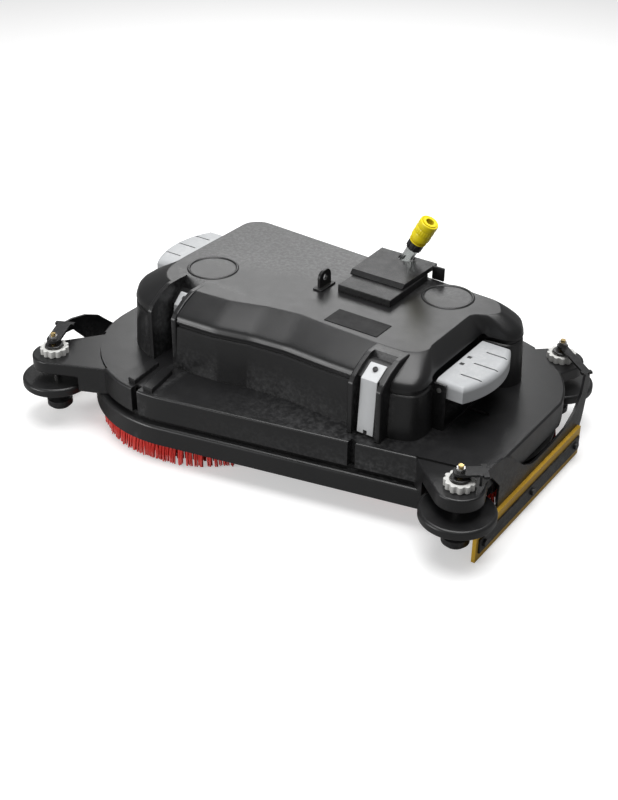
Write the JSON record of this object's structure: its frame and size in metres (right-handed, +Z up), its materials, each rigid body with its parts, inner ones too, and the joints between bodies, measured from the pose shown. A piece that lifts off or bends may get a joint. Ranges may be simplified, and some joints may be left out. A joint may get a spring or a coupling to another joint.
{
  "type": "twin-disc floor scrubber head",
  "caption": "Twin-disc scrub head of a wet and dry floor scrubber, with motors under a hood, corner rollers, screw-adjusted side wipers, release pedals and a water coupling.",
  "frame": {"origin": "on the floor under the middle of the head's outer box", "axes": "+X to the right-hand end of the head, +Y to its rear, +Z up"},
  "size_m": [0.842, 0.58, 0.3387],
  "materials": {
    "black_plastic": "satin moulded",
    "black_steel": "powder coated",
    "strap_grey": "light grey coat",
    "pedal_grey": "satin moulded",
    "knob_white": "satin moulded",
    "brass": "machined",
    "steel": "machined",
    "amber_rubber": "polyurethane",
    "roller_black": "worn",
    "bristle_red": "nylon filaments",
    "clear_hose": "clear tube",
    "yellow_plastic": "moulded",
    "motor_grey": "cast",
    "label_black": "film"
  },
  "bodies": {
    "head": {"deck_housing": "black_plastic", "bumper_skirt": "black_plastic", "hood": "black_plastic", "union_nut": "black_plastic", "coupling_body": "black_plastic", "water_manifold": "black_plastic", "ear_left_front": "black_plastic", "ear_left_rear": "black_plastic", "ear_right_front": "black_plastic", "ear_right_rear": "black_plastic", "lifting_lug": "black_steel", "bracket_base": "black_steel", "bracket_cover": "black_steel", "bracket_flange": "black_steel", "pedal_brackets": "black_steel", "lift_strap_left": "strap_grey", "lift_strap_right": "strap_grey", "roller_pins": "steel", "pedal_pins": "steel", "shaft_bearings": "steel", "strap_screws": "steel", "roller_caps": "roller_black", "inlet_hose": "clear_hose", "gearbox_left": "motor_grey", "gearbox_right": "motor_grey", "motor_left": "motor_grey", "motor_right": "motor_grey", "label_plate": "label_black"},
    "brush_left": {"bristles_left": "bristle_red", "brush_disc_left": "roller_black", "drive_hub_left": "roller_black", "drive_shaft_left": "steel"},
    "wiper_left": {"wiper_plate_left": "black_steel", "adjuster_rods_left": "brass", "rod_nuts_left": "steel", "wiper_lip_left": "amber_rubber", "clamp_strip_left": "black_steel", "clamp_screws_left": "steel"},
    "pedal_left": {"pedal_left": "pedal_grey"},
    "brush_right": {"bristles_right": "bristle_red", "brush_disc_right": "roller_black", "drive_hub_right": "roller_black", "drive_shaft_right": "steel"},
    "wiper_right": {"wiper_plate_right": "black_steel", "adjuster_rods_right": "brass", "rod_nuts_right": "steel", "wiper_lip_right": "amber_rubber", "clamp_strip_right": "black_steel", "clamp_screws_right": "steel"},
    "pedal_right": {"pedal_right": "pedal_grey"},
    "roller_left_front": {"corner_roller_left_front": "roller_black"},
    "knob_left_front": {"adjuster_knob_left_front": "knob_white"},
    "roller_left_rear": {"corner_roller_left_rear": "roller_black"},
    "knob_left_rear": {"adjuster_knob_left_rear": "knob_white"},
    "roller_right_front": {"corner_roller_right_front": "roller_black"},
    "knob_right_front": {"adjuster_knob_right_front": "knob_white"},
    "roller_right_rear": {"corner_roller_right_rear": "roller_black"},
    "knob_right_rear": {"adjuster_knob_right_rear": "knob_white"},
    "sleeve": {"coupling_sleeve": "yellow_plastic"}
  },
  "joints": [
    {"name": "brush_left_spin", "type": "hinge", "parent": "head", "child": "brush_left", "pos_m": [-0.1675, -0.06, 0.06], "axis": [0, 0, 1], "continuous": true},
    {"name": "brush_right_spin", "type": "hinge", "parent": "head", "child": "brush_right", "pos_m": [0.1995, 0.062, 0.06], "axis": [0, 0, 1], "continuous": true},
    {"name": "roller_left_front_spin", "type": "hinge", "parent": "head", "child": "roller_left_front", "pos_m": [-0.364, -0.233, 0.07], "axis": [0, 0, 1], "continuous": true},
    {"name": "roller_left_rear_spin", "type": "hinge", "parent": "head", "child": "roller_left_rear", "pos_m": [-0.332, 0.18, 0.07], "axis": [0, 0, 1], "continuous": true},
    {"name": "roller_right_front_spin", "type": "hinge", "parent": "head", "child": "roller_right_front", "pos_m": [0.364, -0.178, 0.07], "axis": [0, 0, 1], "continuous": true},
    {"name": "roller_right_rear_spin", "type": "hinge", "parent": "head", "child": "roller_right_rear", "pos_m": [0.324, 0.233, 0.07], "axis": [0, 0, 1], "continuous": true},
    {"name": "wiper_left_height", "type": "slide", "parent": "head", "child": "wiper_left", "axis": [0, 0, 1], "range_m": [-0.002, 0.006]},
    {"name": "wiper_right_height", "type": "slide", "parent": "head", "child": "wiper_right", "axis": [0, 0, 1], "range_m": [-0.002, 0.006]},
    {"name": "knob_left_front_turn", "type": "hinge", "parent": "head", "child": "knob_left_front", "pos_m": [-0.364, -0.233, 0.125], "axis": [0, 0, 1], "range_deg": [-1730, 577]},
    {"name": "knob_left_rear_turn", "type": "hinge", "parent": "head", "child": "knob_left_rear", "pos_m": [-0.332, 0.18, 0.125], "axis": [0, 0, 1], "range_deg": [-1730, 577]},
    {"name": "knob_right_front_turn", "type": "hinge", "parent": "head", "child": "knob_right_front", "pos_m": [0.364, -0.178, 0.125], "axis": [0, 0, 1], "range_deg": [-1730, 577]},
    {"name": "knob_right_rear_turn", "type": "hinge", "parent": "head", "child": "knob_right_rear", "pos_m": [0.324, 0.233, 0.125], "axis": [0, 0, 1], "range_deg": [-1730, 577]},
    {"name": "pedal_right_press", "type": "hinge", "parent": "head", "child": "pedal_right", "pos_m": [0.267, 0.004, 0.19], "axis": [0, 1, 0], "range_deg": [0, 12], "stiffness_Nm_per_rad": 3, "springref_deg": -8.59},
    {"name": "pedal_left_press", "type": "hinge", "parent": "head", "child": "pedal_left", "pos_m": [-0.302, 0.076, 0.19], "axis": [0, -1, 0], "range_deg": [0, 12], "stiffness_Nm_per_rad": 3, "springref_deg": -8.59},
    {"name": "sleeve_pull", "type": "slide", "parent": "head", "child": "sleeve", "axis": [-0.4695, 0, -0.8829], "range_m": [0, 0.005], "stiffness_N_per_m": 800, "springref_m": -0.003}
  ],
  "couplings": [
    {"joint": "knob_left_front_turn", "follows": "wiper_left_height", "rad_per_m": -5026.5},
    {"joint": "knob_left_rear_turn", "follows": "wiper_left_height", "rad_per_m": -5026.5},
    {"joint": "knob_right_front_turn", "follows": "wiper_right_height", "rad_per_m": -5026.5},
    {"joint": "knob_right_rear_turn", "follows": "wiper_right_height", "rad_per_m": -5026.5}
  ]
}
